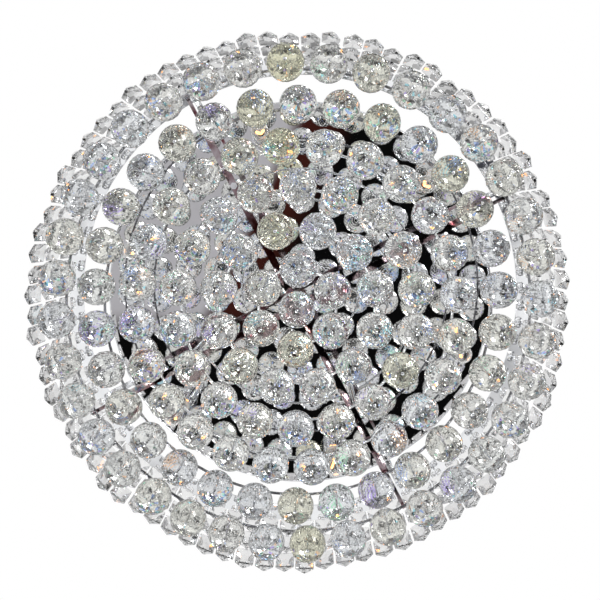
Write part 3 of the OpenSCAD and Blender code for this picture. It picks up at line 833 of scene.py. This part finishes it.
def ray_is(tree, *kinds):
    """1 for rays of any of these kinds."""
    path = add(tree, "ShaderNodeLightPath")
    total = path.outputs[kinds[0]]
    for kind in kinds[1:]:
        join = add(tree, "ShaderNodeMath", operation="MAXIMUM")
        tree.links.new(total, join.inputs[0])
        tree.links.new(path.outputs[kind], join.inputs[1])
        total = join.outputs[0]
    return total


def show_to(tree, kinds, shown, otherwise):
    """Shows one shader to rays of these kinds and the other to the rest."""
    pick = add(tree, "ShaderNodeMixShader")
    tree.links.new(ray_is(tree, *kinds), pick.inputs[0])
    tree.links.new(otherwise.outputs[0], pick.inputs[1])
    tree.links.new(shown.outputs[0], pick.inputs[2])
    return pick


def white_surround():
    """White to the camera. It lights the object plainly, and metal and glass see a room in it."""
    world = bpy.data.worlds.new("surround")
    bpy.context.scene.world = world
    world.use_nodes = True
    tree = world.node_tree
    tree.nodes.clear()
    coords = add(tree, "ShaderNodeTexCoord")

    def plain(strength):
        return add(tree, "ShaderNodeBackground", Color=(*WHITE, 1), Strength=strength)

    def room(kind, result, scale, ends, dark, light):
        pattern = add(tree, kind, Scale=scale)
        tree.links.new(coords.outputs["Generated"], pattern.inputs["Vector"])
        steps = add(tree, "ShaderNodeValToRGB")
        for element, end, level in zip(steps.color_ramp.elements, ends, (dark, light)):
            element.position = end
            element.color = (level, level, level, 1)
        tree.links.new(pattern.outputs[result], steps.inputs[0])
        walls = plain(1.0)
        tree.links.new(steps.outputs["Color"], walls.inputs["Color"])
        return walls

    metal_room = room("ShaderNodeTexNoise", "Fac", **METAL_ROOM)
    glass_room = room("ShaderNodeTexVoronoi", "Color", **GLASS_ROOM)
    surround = show_to(tree, ["Is Glossy Ray"], metal_room, plain(LIT_STRENGTH))
    surround = show_to(tree, ["Is Transmission Ray"], glass_room, surround)
    surround = show_to(tree, ["Is Camera Ray"], plain(1.0), surround)
    out = add(tree, "ShaderNodeOutputWorld")
    tree.links.new(surround.outputs[0], out.inputs["Surface"])


def room_below(tree):
    """What the floor shows: to metal a room with a dim middle, pale beyond, and patches to glass."""
    spot = add(tree, "ShaderNodeTexCoord").outputs["Object"]
    through_glass = ray_is(tree, "Is Transmission Ray")

    def along(direction):
        dot = add(tree, "ShaderNodeVectorMath", operation="DOT_PRODUCT")
        dot.inputs[1].default_value = direction
        tree.links.new(spot, dot.inputs[0])
        return dot.outputs["Value"]

    def both(one, other):
        product = add(tree, "ShaderNodeMath", operation="MULTIPLY")
        tree.links.new(one, product.inputs[0])
        tree.links.new(other, product.inputs[1])
        return product.outputs[0]

    def clouds(scale, ends, dark, light):
        cloud = add(tree, "ShaderNodeTexNoise", Scale=scale)
        tree.links.new(spot, cloud.inputs["Vector"])
        return mix_colours(tree, edge(tree, cloud.outputs["Fac"], ends), dark, light)

    def patches(scale, ends, dark, light):
        cells = add(tree, "ShaderNodeTexVoronoi", Scale=scale)
        tree.links.new(spot, cells.inputs["Vector"])
        split = add(tree, "ShaderNodeSeparateColor")
        tree.links.new(cells.outputs["Color"], split.inputs[0])
        return mix_colours(tree, edge(tree, split.outputs["Red"], ends), dark, light)

    across = along(ACROSS)
    not_behind = edge(tree, along(BEHIND), BEHIND_ENDS)
    brown = both(edge(tree, across, BROWN_ENDS), not_behind)
    grey = both(edge(tree, across, GREY_ENDS), not_behind)
    dim = mix_colours(tree, grey, mix_colours(tree, brown, BLACK, BROWN_SIDE), GREY_SIDE)
    distance = add(tree, "ShaderNodeVectorMath", operation="DISTANCE")
    distance.inputs[1].default_value = DIM_MIDDLE
    tree.links.new(spot, distance.inputs[0])
    beyond = edge(tree, distance.outputs["Value"], DIM_ENDS)
    inside = mix_colours(tree, through_glass, dim, patches(**GLASS_MIDDLE))
    outside = mix_colours(tree, through_glass, clouds(**METAL_FLOOR), patches(**GLASS_FLOOR))
    return mix_colours(tree, beyond, inside, outside)


def studio_floor():
    """Pale floor under the light. Metal and glass see the room below instead of it."""
    bm = bmesh.new()
    bmesh.ops.create_grid(bm, x_segments=1, y_segments=1, size=FLOOR_HALF)
    place(bm, bm.verts[:], shift(z=FLOOR_Z))
    mesh = as_mesh("floor", bm)
    floor = bpy.data.objects.new("floor", mesh)
    bpy.context.scene.collection.objects.link(floor)
    mat = bpy.data.materials.new("floor_paint")
    mat.use_nodes = True
    tree = mat.node_tree
    tree.nodes.clear()
    paint = add(tree, "ShaderNodeBsdfDiffuse", Color=FLOOR_PAINT)
    room = add(tree, "ShaderNodeEmission", Strength=1.0)
    tree.links.new(room_below(tree), room.inputs["Color"])
    surface = show_to(tree, ["Is Glossy Ray", "Is Transmission Ray"], room, paint)
    out = add(tree, "ShaderNodeOutputMaterial")
    tree.links.new(surface.outputs[0], out.inputs["Surface"])
    mesh.materials.append(mat)


def soft_lamp(name, stand, aim, size, watts):
    """A round area lamp that stands at one point and shines at another."""
    light = bpy.data.lights.new(name, "AREA")
    light.shape = "DISK"
    light.size = size
    light.energy = watts
    lamp = bpy.data.objects.new(name, light)
    facing = (Vector(aim) - Vector(stand)).to_track_quat("-Z", "Y")
    lamp.matrix_world = shift(*stand) @ facing.to_matrix().to_4x4()
    bpy.context.scene.collection.objects.link(lamp)


def camera():
    """The photograph's camera, below the light and looking up, a little off its axis."""
    lens = bpy.data.cameras.new("camera")
    lens.sensor_fit = "HORIZONTAL"
    lens.sensor_width = SENSOR
    lens.lens = LENS
    lens.clip_start = 0.01
    lens.clip_end = 30
    view = bpy.data.objects.new("camera", lens)
    right = Vector(CAMERA_RIGHT).normalized()
    forward = Vector(CAMERA_FORWARD).normalized()
    up = right.cross(forward).normalized()
    facing = Matrix((right, up, -forward)).transposed().to_4x4()
    view.matrix_world = shift(*CAMERA_SPOT) @ facing
    bpy.context.scene.collection.objects.link(view)
    bpy.context.scene.camera = view


camera()
white_surround()
studio_floor()
soft_lamp("key", stand=(-1.2, 1.4, -1.4), aim=(0, 0, -0.2), size=0.8, watts=30)
soft_lamp("fill", stand=(1.4, -1.2, -1.2), aim=(0, 0, -0.2), size=0.8, watts=15)
dress_nodes()
build_drops()
build_lamps()
build_strings()

bpy.context.scene.view_settings.view_transform = "Standard"
